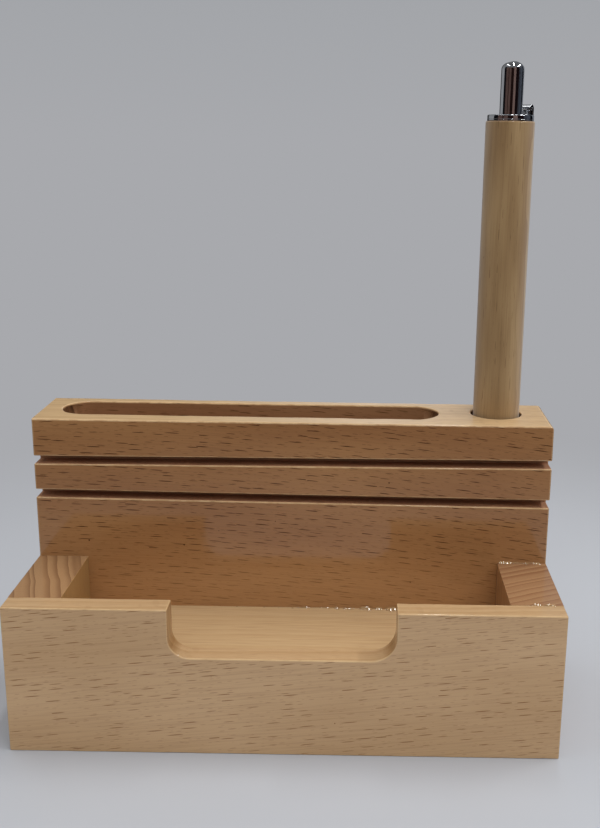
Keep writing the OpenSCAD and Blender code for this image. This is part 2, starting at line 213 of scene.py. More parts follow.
# Tray floor. A beech bar, planed and glued between the end blocks against the back block. Its top is the
# floor that cards stand on.
def beech(
    name, grain, radial, flat, edge, end, fleck, wear_and_highlight, slope=0.0, bend=0.0, shift=0.0, ring_mm=2.6,
    wavy=2.2, flecked=0.6, rays=0.3, streaky=0.22, patch=(60, 30, 18), lacquer=1.0, fuzz=0.0, painted_bounce_light=None,
):
    """Planed beech, lacquered clear: satin, with pale and dark rings, fine fibres and short dark rays.

    flat, edge and end are the light and dark colours of the board's three faces, fleck that of its rays.
    The next colour is that of its edges that hands and sandpaper rounded, and is partly a painted
    highlight, for the light these edges catch. slope and bend turn the grain from its axis, and shift moves
    the pattern across it. The last argument, if given, is a paler colour low in the board with the heights
    in mm
    between which it sets in: painted light, for the light that the bright tray floor throws up there.
    """
    material, tree = new_material(name)
    grain, radial = Vector(grain), Vector(radial)
    tangent = grain.cross(radial)

    # Place in the board, in mm: along the grain, inward through the rings, and across
    at = add(tree, "TexCoord").outputs["Object"]
    place = add(tree, "VectorMath", {0: at, 1: tangent * shift * MM})
    along, inward, across = (
        add(tree, "VectorMath", {0: place, 1: direction / MM}, operation="DOT_PRODUCT")
        for direction in (grain, radial, tangent)
    )
    run = add(tree, "Math", {0: along, 1: bend, 2: slope}, operation="MULTIPLY_ADD")
    line = add(tree, "Math", {0: along, 1: run, 2: across}, operation="MULTIPLY_ADD")
    lie = add(tree, "CombineXYZ", {"X": along, "Y": inward, "Z": line})

    # Which face of the board this is: flat-sawn, quartered edge or end grain
    facing = add(tree, "NewGeometry").outputs["Normal"]
    facings = [
        add(tree, "VectorMath", {0: facing, 1: direction}, operation="DOT_PRODUCT")
        for direction in (radial, grain)
    ]
    flat_on, end_on = (add(tree, "Math", {0: part}, operation="ABSOLUTE") for part in facings)
    flat_share = add(tree, "MapRange", {"Value": flat_on, "From Min": 0.3, "From Max": 0.8})
    end_share = add(tree, "MapRange", {"Value": end_on, "From Min": 0.5, "From Max": 0.9})

    # Growth rings wander a little, and each darkens to a crisp line. Flat-sawn faces have broad patches.
    slow = add(tree, "VectorMath", {0: lie, 1: [1 / length for length in patch]}, operation="MULTIPLY")
    wander = add(tree, "TexNoise", {"Vector": slow, "Scale": 1.0, "Detail": 2.0})
    depth = add(tree, "VectorMath", {0: lie, 1: (0, 1 / ring_mm, 0.3 / ring_mm)}, operation="DOT_PRODUCT")
    ring = add(tree, "Math", {0: wander, 1: wavy, 2: depth}, operation="MULTIPLY_ADD")
    years = add(tree, "TexNoise", {"W": ring, "Scale": 0.7, "Detail": 1.0}, noise_dimensions="1D")
    ring = add(tree, "Math", {0: years, 1: 2.0, 2: ring}, operation="MULTIPLY_ADD")
    within = add(tree, "Math", {0: ring}, operation="FRACT")
    tone = add(tree, "Math", {0: within, 1: 2.0}, operation="POWER")
    broad = add(tree, "MapRange", {"Value": wander, "From Min": 0.35, "From Max": 0.65})
    flat_wood, edge_wood, end_wood = (
        add(tree, "Mix", {"Factor": factor, "A": srgb(pair[0]), "B": srgb(pair[1])}, data_type="RGBA")
        for factor, pair in ((broad, flat), (tone, edge), (tone, end))
    )
    # Painted light: paler low in the board, for the light that the bright tray floor throws up on it
    if painted_bounce_light:
        pale, starts, full = painted_bounce_light
        height = add(tree, "SeparateXYZ", {0: at}).outputs["Z"]
        low = add(tree, "MapRange", {"Value": height, "From Min": starts * MM, "From Max": full * MM})
        flat_wood = add(tree, "Mix", {"Factor": low, "A": flat_wood, "B": srgb(pale)}, data_type="RGBA")
    sides = add(tree, "Mix", {"Factor": flat_share, "A": edge_wood, "B": flat_wood}, data_type="RGBA")
    body = add(tree, "Mix", {"Factor": end_share, "A": sides, "B": end_wood}, data_type="RGBA")

    # Fibres are 12 mm long and 0.3 mm wide
    thread = add(tree, "VectorMath", {0: lie, 1: (1 / 12, 1 / 0.3, 1 / 0.3)}, operation="MULTIPLY")
    fibre = add(tree, "TexNoise", {"Vector": thread, "Scale": 1.0, "Detail": 3.0})
    streak = add(tree, "MapRange", {"Value": fibre, "From Min": 0.45, "From Max": 0.8, "To Max": streaky})
    colour = add(tree, "Mix", {"Factor": streak, "A": body, "B": srgb(fleck)}, data_type="RGBA")

    # Rays: dark spindles up to 4 mm long and 0.2 mm thick, fainter short ones, and a few dark specks. Each
    # cell of the board has one at most. They are fainter where the board is painted paler low down, and lie
    # across the rings on end grain.
    shown = add(tree, "Math", {0: end_on, 1: 0.5, 2: flat_on}, operation="MULTIPLY_ADD")
    showing = add(tree, "MapRange", {
        "Value": shown, "From Min": 0.2, "To Min": 0.1 * flecked, "To Max": flecked,
    })
    if painted_bounce_light:
        kept = add(tree, "MapRange", {"Value": low, "To Min": 1.0, "To Max": 0.55})
        showing = add(tree, "Math", {0: showing, 1: kept}, operation="MULTIPLY")
    flat_lie = add(tree, "CombineXYZ", {"X": add(tree, "Math", {0: along, 1: inward}), "Y": line})
    pits, sunk = fibre, 0.0
    for cell_l, cell_w, half_l, half_w, share, dark in (
        (2.2, 1.0, 0.8, 0.08, 1.2 * rays, 0.5),
        (4.2, 1.5, 2.2, 0.12, rays, 1.0),
        (24, 24, 0.25, 0.25, 0.5, 1.0),
    ):
        per_mm = (1 / cell_l, 1 / cell_w, 0)
        cells = add(tree, "VectorMath", {0: flat_lie, 1: per_mm}, operation="MULTIPLY")
        ray = add(tree, "TexVoronoi", {"Vector": cells, "Scale": 1.0}, voronoi_dimensions="2D").outputs
        off = add(tree, "VectorMath", {0: cells, 1: ray["Position"]}, operation="SUBTRACT")
        per_half = (cell_l / half_l, cell_w / half_w, 0)
        off = add(tree, "VectorMath", {0: off, 1: per_half}, operation="MULTIPLY")
        off = add(tree, "VectorMath", {0: off}, operation="LENGTH")
        luck = add(tree, "SeparateColor", {0: ray["Color"]}).outputs
        there = add(tree, "Math", {0: luck[0], 1: share}, operation="LESS_THAN")
        reach = add(tree, "MapRange", {"Value": luck[1], "To Min": 0.4})
        core = add(tree, "Math", {0: reach, 1: 0.6}, operation="MULTIPLY")
        spindle = add(tree, "MapRange", {
            "Value": off, "From Min": core, "From Max": reach, "To Min": there, "To Max": 0.0,
        })
        dash = add(tree, "Math", {0: spindle, 1: showing}, operation="MULTIPLY")
        dash = add(tree, "Math", {0: dash, 1: dark}, operation="MULTIPLY")
        colour = add(tree, "Mix", {"Factor": dash, "A": colour, "B": srgb(fleck)}, data_type="RGBA")
        pits = add(tree, "Math", {0: pits, 1: spindle}, operation="SUBTRACT")
        sunk = add(tree, "Math", {0: sunk, 1: dash}, operation="MAXIMUM")

    # Edges along the grain that sandpaper and hands have rounded have little lacquer left, and are painted
    # paler in patches: partly rubbed wood, partly a painted highlight where the rounded edge catches light.
    # Rays, edge grain and end grain soak up more of the lacquer than the rest of a flat-sawn face.
    rubbing_and_highlight = add(tree, "Attribute", attribute_name="wear_and_highlight").outputs["Fac"]
    patchy = add(tree, "TexNoise", {"Vector": place, "Scale": 1 / (2 * MM), "Detail": 2.0})
    patchy = add(tree, "MapRange", {
        "Value": patchy, "From Min": 0.4, "From Max": 0.6, "To Min": 0.35, "To Max": 0.65,
    })
    lengthwise = add(tree, "MapRange", {"Value": end_on, "To Min": 1.0, "To Max": 0.1})
    for part in (patchy, lengthwise):
        rubbing_and_highlight = add(tree, "Math", {0: rubbing_and_highlight, 1: part}, operation="MULTIPLY")
    colour = add(tree, "Mix", {"Factor": rubbing_and_highlight, "A": colour, "B": srgb(wear_and_highlight)}, data_type="RGBA")
    film = add(tree, "MapRange", {"Value": flat_share, "To Min": 0.8 * lacquer, "To Max": lacquer})
    lost = add(tree, "Math", {0: sunk, 1: rubbing_and_highlight}, operation="MAXIMUM")
    left = add(tree, "Math", {0: 1.0, 1: lost}, operation="SUBTRACT")
    film = add(tree, "Math", {0: film, 1: left}, operation="MULTIPLY")

    # The lacquer levels most of the grain, and is itself a little wavy
    pores = add(tree, "Bump", {"Strength": 0.15, "Distance": 0.05 * MM, "Height": pits})
    ripple = add(tree, "TexNoise", {"Vector": place, "Scale": 1 / (7 * MM), "Detail": 2.0})
    level = add(tree, "Bump", {"Strength": 0.3, "Distance": 0.06 * MM, "Height": ripple})
    wood = add(tree, "BsdfPrincipled", {
        "Base Color": colour, "Roughness": 0.5, "Specular IOR Level": 0.1, "Sheen Weight": fuzz,
        "Coat Weight": film, "Coat Roughness": 0.09, "Coat IOR": 1.5, "Normal": pores, "Coat Normal": level,
    })
    add(tree, "OutputMaterial", {"Surface": wood})
    return material


def piece_from(form, name):
    """A new piece with the mesh that was built in form."""
    piece = bpy.data.objects.new(name, bpy.data.meshes.new(name))
    form.to_mesh(piece.data)
    form.free()
    scene.collection.objects.link(piece)
    return piece


def softened(node, name, easing, sharp_degrees=40):
    """A piece in the shape of a CAD node with each outer edge rounded over by easing(place) mm."""
    SAME_POINT, SAME_PLANE = 0.002 * MM, math.radians(0.1)
    form = bmesh.new()
    form.from_mesh(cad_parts[node].data)
    bmesh.ops.remove_doubles(form, verts=form.verts, dist=SAME_POINT)
    bmesh.ops.dissolve_limit(form, angle_limit=SAME_PLANE, verts=form.verts, edges=form.edges)
    weight = form.edges.layers.float.new("bevel_weight_edge")
    for edge in form.edges:
        outer = len(edge.link_faces) == 2 and edge.is_convex
        if outer and edge.calc_face_angle() > math.radians(sharp_degrees):
            edge[weight] = easing((edge.verts[0].co + edge.verts[1].co) / 2 / MM)
    piece = piece_from(form, name)

    # The bevel gives its faces the second of two empty material slots, which then says where the wear and
    # the painted edge highlight are
    for _ in range(2):
        piece.data.materials.append(None)
    round_over = piece.modifiers.new("round_over", "BEVEL")
    round_over.limit_method, round_over.width = "WEIGHT", MM
    round_over.segments, round_over.material = 3, 1
    round_over.use_clamp_overlap = False
    rounded = bpy.data.meshes.new_from_object(piece.evaluated_get(bpy.context.evaluated_depsgraph_get()))
    piece.modifiers.clear()
    piece.data = rounded
    # Rounded faces carry the wear and a painted highlight along the edge
    wear_and_highlight = rounded.attributes.new("wear_and_highlight", "FLOAT", "FACE")
    for polygon in rounded.polygons:
        wear_and_highlight.data[polygon.index].value = float(polygon.material_index)
        polygon.material_index = 0
    rounded.materials.clear()
    return piece


def smooth_faces(piece, sharp_degrees=48):
    """Shades a piece smooth over its rounded edges and flat on its faces."""
    piece.data.shade_smooth()
    piece.data.set_sharp_from_angle(angle=math.radians(sharp_degrees))
    piece.modifiers.new("flat_faces", "WEIGHTED_NORMAL").keep_sharp = True


def sanded(node, name, easing, grain_axis):
    """A board in the shape of a CAD node, with its edges eased by hand and so a little unevenly."""
    WEAR, WAVE, EVERY, SQUARE = 0.12 * MM, 5 * MM, 3 * MM, 0.99
    board = softened(node, name, easing)
    form = bmesh.new()
    form.from_mesh(board.data)
    low, high = (corner[grain_axis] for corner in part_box(node))
    across = Vector([float(axis == grain_axis) for axis in range(3)])
    for step in range(1, math.ceil((high - low) / EVERY)):
        whole = form.verts[:] + form.edges[:] + form.faces[:]
        bmesh.ops.bisect_plane(form, geom=whole, plane_co=across * (low + step * EVERY), plane_no=across)
    for vertex in form.verts:
        if any(max(abs(part) for part in face.normal) < SQUARE for face in vertex.link_faces):
            vertex.co -= vertex.normal * WEAR * max(0, noise.noise(vertex.co / WAVE))
    form.to_mesh(board.data)
    form.free()
    smooth_faces(board)
    return board


def fit(piece, body, slot, *nodes):
    """Fixes a new piece to its body in place of the CAD nodes that it stands for."""
    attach(piece, body)
    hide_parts(*nodes)


# How far each kind of edge is rounded over, and how near to a face counts as on it, in mm
GLUED, OPEN_EDGE, UNDERSIDE = 0.06, 0.12, 0.25
NEAR = 0.5
ALONG_X, ALONG_Z = 0, 2
tray_floor = sanded("tray_floor", "tray_floor_bar", lambda at: GLUED, ALONG_X)
tray_floor.data.materials.append(beech(
    "beech_planed_floor", (1, 0, 0), (0, 1, 0), ("b98f63", "ad8158"), ("caaa80", "c4a276"),
    ("a98058", "966d47"), "93693f", "d3b184", slope=-0.02, shift=31, streaky=0.4,
))
fit(tray_floor, "stand", "beech", "tray_floor")

# End blocks. Two short beech uprights that close the tray's ends, sawn so that end grain shows on top. They
# are glued to the boards on all sides but one and sanded flush.
OPEN_HALF = 9
tray_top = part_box("left_end_block")[1].z / MM
for side, radial, light, dark, shift in (
    ("left", (1, 0, 0), "aa845d", "835f40", 12), ("right", (-0.14, 0.99, 0), "a67f5a", "885c3e", 47),
):
    middle = sum(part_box(f"{side}_end_block"), Vector()) / 2 / MM
    upright = sanded(
        f"{side}_end_block", f"{side}_end_upright",
        lambda at: OPEN_EDGE if at.z > tray_top - NEAR and abs(at.y - middle.y) < OPEN_HALF else GLUED,
        ALONG_Z,
    )
    upright.data.materials.append(beech(
        f"beech_end_grain_{side}", (0, 0, 1), radial, ("b6915d", "ab8653"), ("b08458", "9d7048"),
        (light, dark), "80563a", "c39d70", shift=shift, wavy=0.9, flecked=0.5,
    ))
    fit(upright, "stand", "beech", f"{side}_end_block")

# Front panel. A thin beech board with a rounded finger notch, glued to the ends of the tray and sanded.
# Its rays rise to the right.
PANEL_BACK, PANEL_FRONT = 0.2, 0.3
panel_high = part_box("front_panel")[1] / MM


def panel_easing(at):
    """How far the panel's edges are rounded over: most along the front, where hands and sandpaper go."""
    if at.y > panel_high.y - NEAR:
        return PANEL_BACK if at.z > NEAR else GLUED
    return UNDERSIDE if at.z < NEAR or abs(at.x) > panel_high.x - NEAR else PANEL_FRONT


panel = sanded("front_panel", "front_board", panel_easing, ALONG_X)
panel.data.materials.append(beech(
    "beech_planed_panel", (1, 0, 0), (0, 1, 0), ("d0ab80", "c49e72"), ("c6a47b", "bb976b"),
    ("a78154", "9a7247"), "734416", "d6b68a", slope=-0.105, shift=5, flecked=0.78, rays=0.52,
))
fit(panel, "stand", "beech", "front_panel")

# Back block. A thick beech upright: the slot is routed, the pen hole drilled, and two kerfs are run along
# its front with a circular saw and left rough. Its rays fall to the right, more steeply at that end.
KERF_EDGE, BLOCK_TOP, TOP_RIGHT = 0.3, 0.4, 0.9
block_low, block_high = (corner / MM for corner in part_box("back_block"))


def block_easing(at):
    """How far the block's edges are rounded over: most at the right end of its top."""
    if at.z < NEAR:
        return UNDERSIDE
    if at.z < block_high.z - NEAR:
        return KERF_EDGE
    return TOP_RIGHT if at.x > block_high.x - NEAR else BLOCK_TOP


back = sanded("back_block", "back_upright", block_easing, ALONG_X)
block_grain = {"slope": 0.075, "bend": 0.00052, "shift": 84}
back.data.materials.append(beech(
    "beech_planed_block", (1, 0, 0), (0, 1, 0), ("a7794c", "996b42"), ("d7b588", "cca97c"),
    ("a67c52", "916842"), "3a1402", "d9b98d", **block_grain, flecked=0.95, rays=0.72,
    # Painted light low on its front, for the light thrown up from the bright tray floor
    painted_bounce_light=("b28355", 41, 27),
))

# Beech off the saw blade: scorched red-brown, dry and rough, with the marks of the teeth
TOOTH_MARK = 1.1 * MM
sawn, tree = new_material("beech_sawn_rough")
place = add(tree, "TexCoord").outputs["Object"]
teeth = add(tree, "TexWave", {"Vector": place, "Scale": math.pi / 10 / TOOTH_MARK, "Distortion": 3.0})
burn = add(tree, "TexNoise", {"Vector": place, "Scale": 1 / (9 * MM), "Detail": 3.0})
scorch = add(tree, "Mix", {"Factor": burn, "A": srgb("b88864"), "B": srgb("9a6a4a")}, data_type="RGBA")
ridges = add(tree, "Bump", {"Strength": 0.4, "Distance": 0.1 * MM, "Height": teeth})
rough = add(tree, "BsdfPrincipled", {"Base Color": scorch, "Roughness": 0.85, "Normal": ridges})
add(tree, "OutputMaterial", {"Surface": rough})
back.data.materials.append(sawn)

# Beech off the router and the drill: the same grain, darker, torn at the slot's ends, with little lacquer
back.data.materials.append(beech(
    "beech_routed", (1, 0, 0), (0, 1, 0), ("9d7552", "8c6243"), ("9d7552", "8c6243"),
    ("6f4d33", "3a2514"), "45260f", "b08a60", **block_grain, ring_mm=1.3, flecked=0.8, rays=0.6,
    lacquer=0.2,
))
SAWN, ROUTED = 1, 2
KERFS_FROM, KERFS_TO, KERF_DEEP, END_FACE = 46, 60, 5, 0.1
SLOT_FROM, SLOT_END_ROOM, WALL_FRONT, WALL_BACK = 60, 2, 4.9, 2
HOLE_FROM, HOLE_ROOM, ROUNDED = 7, 1, 0.45
hole_low, hole_high = (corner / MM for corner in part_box("pen_barrel"))
for polygon in back.data.polygons:
    at = polygon.center / MM
    from_front, from_back = at.y - block_low.y, block_high.y - at.y
    in_kerf = ROUNDED < from_front < KERF_DEEP and KERFS_FROM < at.z < KERFS_TO
    if in_kerf and abs(at.x) < block_high.x - END_FACE:
        polygon.material_index = SAWN
    in_slot = at.z > SLOT_FROM and at.x < hole_low.x - SLOT_END_ROOM
    in_hole = at.z > HOLE_FROM and hole_low.x - HOLE_ROOM < at.x < hole_high.x + HOLE_ROOM
    inside = from_front > WALL_FRONT and from_back > WALL_BACK and at.z < block_high.z - ROUNDED
    if inside and (in_slot or in_hole):
        polygon.material_index = ROUTED
fit(back, "stand", "beech", "back_block")


# Glue. Clear wood glue that foamed out of the joints at the right when the tray was clamped, and was left
# to dry in thin uneven beads and small bubbles that glint.
def join_rows(form, rows):
    """Joins rows of points into a closed tube, with a face across each end."""
    for row, following in zip(rows, rows[1:]):
        for side in range(len(row)):
            beside = (side + 1) % len(row)
            form.faces.new((row[side], row[beside], following[beside], following[side]))
    for last in (rows[0], rows[-1]):
        form.faces.new(last)


def dried_bead(form, start, end, side_a, side_b, sweep, size):
    """Adds a lumpy bead from start to end, which tapers off and bulges from side_a round to side_b."""
    STEP, SIDES, LUMP, THINNEST = 0.3, 6, 1.7, 0.2
    TAPER, BLUNT = 4, 0.05
    steps = round((end - start).length / STEP)
    rows = []
    for step in range(steps + 1):
        here = start.lerp(end, step / steps)
        taper = min(1, TAPER * min(step, steps - step) / steps + BLUNT)
        lump = max(0, noise.noise(here / LUMP) + 0.2)
        swell = size * taper * (THINNEST + (1 - THINNEST) * lump)
        angles = [sweep * turn / SIDES for turn in range(SIDES + 1)]
        spokes = [side_a * math.cos(angle) + side_b * math.sin(angle) for angle in angles]
        points = [here] + [here + spoke * swell for spoke in spokes]
        rows.append([form.verts.new(point * MM) for point in points])
    join_rows(form, rows)


def bubbles(form, start, end, spread, count, small, large, chance):
    """Adds small blobs at chance places from start to end, up to spread to the side, and squat."""
    for _ in range(count):
        at = start.lerp(end, chance.random()) + spread * chance.random()
        radius = chance.uniform(small, large) * MM
        lean = Matrix.Rotation(math.radians(chance.uniform(25, 50)), 4, "X")
        squat = Matrix.Diagonal((chance.uniform(1.0, 1.7), 1.0, 0.35, 1.0))
        place = Matrix.Translation(at * MM) @ lean @ squat
        bmesh.ops.create_icosphere(form, subdivisions=3, radius=radius, matrix=place)


floor_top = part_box("tray_floor")[1].z / MM
joint_y, inner_right = block_low.y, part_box("right_end_block")[0].x / MM
FORWARD, BACKWARD, UP = Vector((0, -1, 0)), Vector((0, 1, 0)), Vector((0, 0, 1))
chance = random.Random(5)
form = bmesh.new()
floor_joint = Vector((-15, joint_y, floor_top)), Vector((inner_right, joint_y, floor_top))
block_joint = Vector((inner_right, joint_y, tray_top)), Vector((59, joint_y, tray_top))
panel_joint = Vector((50.4, panel_high.y, tray_top)), Vector((58.4, panel_high.y, tray_top))
dried_bead(form, *floor_joint, FORWARD, UP, math.pi / 2, 0.25)
dried_bead(form, *block_joint, FORWARD, UP, math.pi / 2, 0.25)
dried_bead(form, *panel_joint, BACKWARD, UP * 0.5, math.pi, 0.2)

# Bubbles along each joint: from where to where, how many, and their least and largest radius
for from_x, to_x, count, small, large in (
    (-15, 9, 12, 0.1, 0.2), (9.5, 11, 2, 0.45, 0.8), (11.5, 17, 6, 0.15, 0.35), (17, 24.5, 9, 0.5, 0.9),
    (25, 47, 14, 0.15, 0.5),
):
    run = Vector((from_x, joint_y, floor_top)), Vector((to_x, joint_y, floor_top))
    bubbles(form, *run, FORWARD * 0.8, count, small, large, chance)
for from_x, to_x, count, small, large in (
    (49.4, 52, 3, 0.5, 0.8), (53, 57, 2, 0.1, 0.2), (57.2, 58, 2, 0.3, 0.5),
):
    run = Vector((from_x, joint_y, tray_top)), Vector((to_x, joint_y, tray_top))
    bubbles(form, *run, FORWARD * 0.3, count, small, large, chance)
for from_x, to_x in ((53.2, 55.4), (56.4, 58)):
    run = Vector((from_x, panel_high.y, tray_top)), Vector((to_x, panel_high.y, tray_top))
    bubbles(form, *run, BACKWARD * 0.4, 4, 0.2, 0.45, chance)
bmesh.ops.recalc_face_normals(form, faces=form.faces)
glue = piece_from(form, "dried_glue_beads")
glue.data.shade_smooth()
clear_glue, tree = new_material("wood_glue_dried_clear")
cloud = add(tree, "TexNoise", {"Vector": add(tree, "TexCoord").outputs["Object"], "Scale": 1 / (2 * MM)})
milky = add(tree, "Mix", {"Factor": cloud, "A": srgb("b98f60"), "B": srgb("d0ac7c")}, data_type="RGBA")
gel = add(tree, "BsdfPrincipled", {
    "Base Color": milky, "Roughness": 0.06, "IOR": 1.5, "Transmission Weight": 0.3, "Coat Weight": 1.0,
    "Coat IOR": 1.9,
})
add(tree, "OutputMaterial", {"Surface": gel})
glue.data.materials.append(clear_glue)
fit(glue, "stand", "dried_glue", "glue_beads")


# Refill. A polypropylene tube of blue oil ink with a turned nickel silver tip and a steel writing ball. The
# tip's shoulder rests on the return spring.
def moulded(name, light, dark, roughness, see_through=0.0):
    """Moulded plastic: an even colour, faintly clouded, with the soft gloss of the mould."""
    material, tree = new_material(name)
    flow = add(tree, "TexNoise", {"Vector": add(tree, "TexCoord").outputs["Object"], "Scale": 1 / (3 * MM)})
    colour = add(tree, "Mix", {"Factor": flow, "A": srgb(light), "B": srgb(dark)}, data_type="RGBA")
    grain = add(tree, "Bump", {"Strength": 0.1, "Distance": 0.02 * MM, "Height": flow})
    plastic = add(tree, "BsdfPrincipled", {
        "Base Color": colour, "Roughness": roughness, "IOR": 1.49, "Transmission Weight": see_through,
        "Normal": grain,
    })
    add(tree, "OutputMaterial", {"Surface": plastic})
    return material


def machined(name, light, dark, rough_min, rough_max, mark_mm):
    """Metal off a lathe or a die: fine rings round the axis, and roughness that varies with them."""
    material, tree = new_material(name)
    height = add(tree, "SeparateXYZ", {0: add(tree, "TexCoord").outputs["Object"]}).outputs["Z"]
    turn = add(tree, "Math", {0: height, 1: 1 / (mark_mm * MM)}, operation="MULTIPLY")
    rings = add(tree, "TexNoise", {"W": turn, "Scale": 1.0, "Detail": 2.0}, noise_dimensions="1D")
    colour = add(tree, "Mix", {"Factor": rings, "A": srgb(light), "B": srgb(dark)}, data_type="RGBA")
    gloss = add(tree, "MapRange", {"Value": rings, "To Min": rough_min, "To Max": rough_max})
    marks = add(tree, "Bump", {"Strength": 0.2, "Distance": 0.02 * MM, "Height": rings})
    metal = add(tree, "BsdfPrincipled", {
        "Base Color": colour, "Metallic": 1.0, "Roughness": gloss, "Normal": marks,
    })
    add(tree, "OutputMaterial", {"Surface": metal})
    return material


def dress(material, *nodes):
    """Gives CAD nodes that stay as they are their finish."""
    for node in nodes:
        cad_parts[node].material_slots[0].material = material


pen_x, pen_y, _ = sum(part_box("pen_barrel"), Vector()) / 2 / MM


def turned(name, outline, round_mm, around=96):
    """A piece turned on the pen's axis from a closed outline of (radius, height) in mm, corners rounded."""
    SAME_POINT, SHARP = 0.0005 * MM, math.radians(30)
    form = bmesh.new()
    angles = [2 * math.pi * step / around for step in range(around)]
    rings = []
    for radius, height in outline:
        spokes = [(radius * math.cos(angle), radius * math.sin(angle)) for angle in angles]
        places = [Vector((pen_x + x, pen_y + y, height)) for x, y in spokes]
        rings.append([form.verts.new(place * MM) for place in places])
    for this, (ring, following) in enumerate(zip(rings, rings[1:] + rings[:1])):
        if outline[this][0] + outline[(this + 1) % len(outline)][0] > 0:
            for step in range(around):
                beside = (step + 1) % around
                form.faces.new((ring[step], ring[beside], following[beside], following[step]))
    bmesh.ops.remove_doubles(form, verts=form.verts, dist=SAME_POINT)
    bmesh.ops.recalc_face_normals(form, faces=form.faces)
    piece = piece_from(form, name)
    corner = piece.modifiers.new("round_over", "BEVEL")
    corner.limit_method, corner.angle_limit = "ANGLE", SHARP
    corner.width, corner.segments = round_mm * MM, 3
    smooth_faces(piece)
    return piece


spring_steel = machined("spring_steel_drawn", "a9abad", "8e9092", 0.22, 0.38, 0.3)
dress(moulded("polypropylene_extruded", "e3e5e8", "d6d9dd", 0.3, see_through=0.35), "refill_tube")
dress(moulded("oil_ink_thick", "1b2c66", "142250", 0.2), "ink_column")
ball_low, ball_high = (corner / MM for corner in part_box("writing_ball"))
tip_low, tip_high = (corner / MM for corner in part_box("refill_tip"))
BALL_PLAY, LIP_R, NECK_R, TIP_CONE_L = 0.02, 0.45, 1.15, 3.0
PLUG_R, PLUG_L, SHOULDER_H = 0.95, 4.0, 1.0
CUP_STEPS, BALL_STEPS = 12, 24
ball_z, ball_r = (ball_low.z + ball_high.z) / 2, (ball_high.z - ball_low.z) / 2
shoulder_r = (tip_high.x - tip_low.x) / 2
tube_z = tip_high.z - PLUG_L
cup_r = ball_r + BALL_PLAY
cup_sweep = math.acos((tip_low.z - ball_z) / cup_r)
cup = [cup_sweep * step / CUP_STEPS for step in range(1, CUP_STEPS + 1)]
outline = [(0, ball_z + cup_r)]
outline += [(cup_r * math.sin(angle), ball_z + cup_r * math.cos(angle)) for angle in cup]
outline += [(LIP_R, tip_low.z), (NECK_R, tip_low.z + TIP_CONE_L), (NECK_R, tube_z - SHOULDER_H)]
outline += [(shoulder_r, tube_z - SHOULDER_H), (shoulder_r, tube_z), (PLUG_R, tube_z), (PLUG_R, tip_high.z)]
tip = turned("turned_refill_tip", outline + [(0, tip_high.z)], round_mm=0.03)
tip.data.materials.append(machined("nickel_silver_turned", "c4bca6", "aaa28d", 0.18, 0.32, 0.12))
fit(tip, "refill", "nickel_silver", "refill_tip")
half_turn = [math.pi * step / BALL_STEPS for step in range(1, BALL_STEPS)]
outline = [(ball_r * math.sin(angle), ball_z - ball_r * math.cos(angle)) for angle in half_turn]
ball = turned("ground_writing_ball", [(0, ball_low.z)] + outline + [(0, ball_high.z)], round_mm=0.01)
ball.data.materials.append(spring_steel)
fit(ball, "refill", "spring_steel", "writing_ball")

# Return spring. Drawn steel wire wound in open turns, with one close turn at each end, round the refill's
# tip. In the pen it closes up as the refill comes forward; here it is built at rest and fixed to the pen.
spring_low, spring_high = (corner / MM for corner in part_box("return_spring"))
WIRE_R, TURNS, STEPS, SIDES, TOUCHING = 0.2, 9, 28, 10, 1.1
coil_r = (spring_high.x - spring_low.x) / 2 - WIRE_R
close_pitch = 2 * WIRE_R * TOUCHING
open_pitch = (spring_high.z - spring_low.z - 2 * WIRE_R - 2 * close_pitch) / (TURNS - 2)
form = bmesh.new()
rows = []
for step in range(TURNS * STEPS + 1):
    turn = step / STEPS
    angle = 2 * math.pi * turn
    close_turns = min(turn, 1) + max(turn - TURNS + 1, 0)
    open_turns = min(max(turn - 1, 0), TURNS - 2)
    rise = close_pitch * close_turns + open_pitch * open_turns
    row = []
    for side in range(SIDES):
        about = 2 * math.pi * side / SIDES
        swing = coil_r + WIRE_R * math.cos(about)
        height = spring_low.z + WIRE_R + rise + WIRE_R * math.sin(about)
        point = Vector((pen_x + swing * math.cos(angle), pen_y + swing * math.sin(angle), height))
        row.append(form.verts.new(point * MM))
    rows.append(row)
join_rows(form, rows)
bmesh.ops.recalc_face_normals(form, faces=form.faces)
spring = piece_from(form, "wound_spring")
spring.data.shade_smooth()
spring.data.materials.append(spring_steel)
fit(spring, "pen", "spring_steel", "return_spring")
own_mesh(spring)

# Nose cone. Turned brass, nickelled and chromed to a mirror, with two fine grooves. It screws into a bush
# in the barrel's lower end.
cone_low, cone_high = (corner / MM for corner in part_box("nose_cone"))

# Chrome, plated over polished metal: a clear dark-and-bright mirror with the faintest smears of handling
chrome, tree = new_material("chrome_plate_polished")
place = add(tree, "TexCoord").outputs["Object"]
smear = add(tree, "TexNoise", {"Vector": place, "Scale": 1 / (2.5 * MM), "Detail": 3.0})
gloss = add(tree, "MapRange", {
    "Value": smear, "From Min": 0.4, "From Max": 0.75, "To Min": 0.04, "To Max": 0.12,
})
tint = add(tree, "Mix", {"Factor": smear, "A": srgb("d0d3d6"), "B": srgb("c2c4c8")}, data_type="RGBA")
mirror = add(tree, "BsdfPrincipled", {"Base Color": tint, "Metallic": 1.0, "Roughness": gloss})
add(tree, "OutputMaterial", {"Surface": mirror})

TIP_R, TIP_HOLE_R, LEDGE, CHAMBER_R, STUB_R, CONE_H = 2.2, 1.3, 5.5, 2.35, 3.15, 16.0
GROOVES, GROOVE_W, GROOVE_DEEP, GROOVE_ROOM = (13.6, 14.6), 0.35, 0.18, 0.3
CONE_STEPS = 40
cone_r = (cone_high.x - cone_low.x) / 2
rise = cone_r - TIP_R
arc_r = (rise ** 2 + CONE_H ** 2) / (2 * rise)
below, above = GROOVES[0] - GROOVE_ROOM, GROOVES[-1] + GROOVE_W + GROOVE_ROOM
levels = [CONE_H * step / CONE_STEPS for step in range(CONE_STEPS + 1)]
levels = [level for level in levels if not below < level < above]

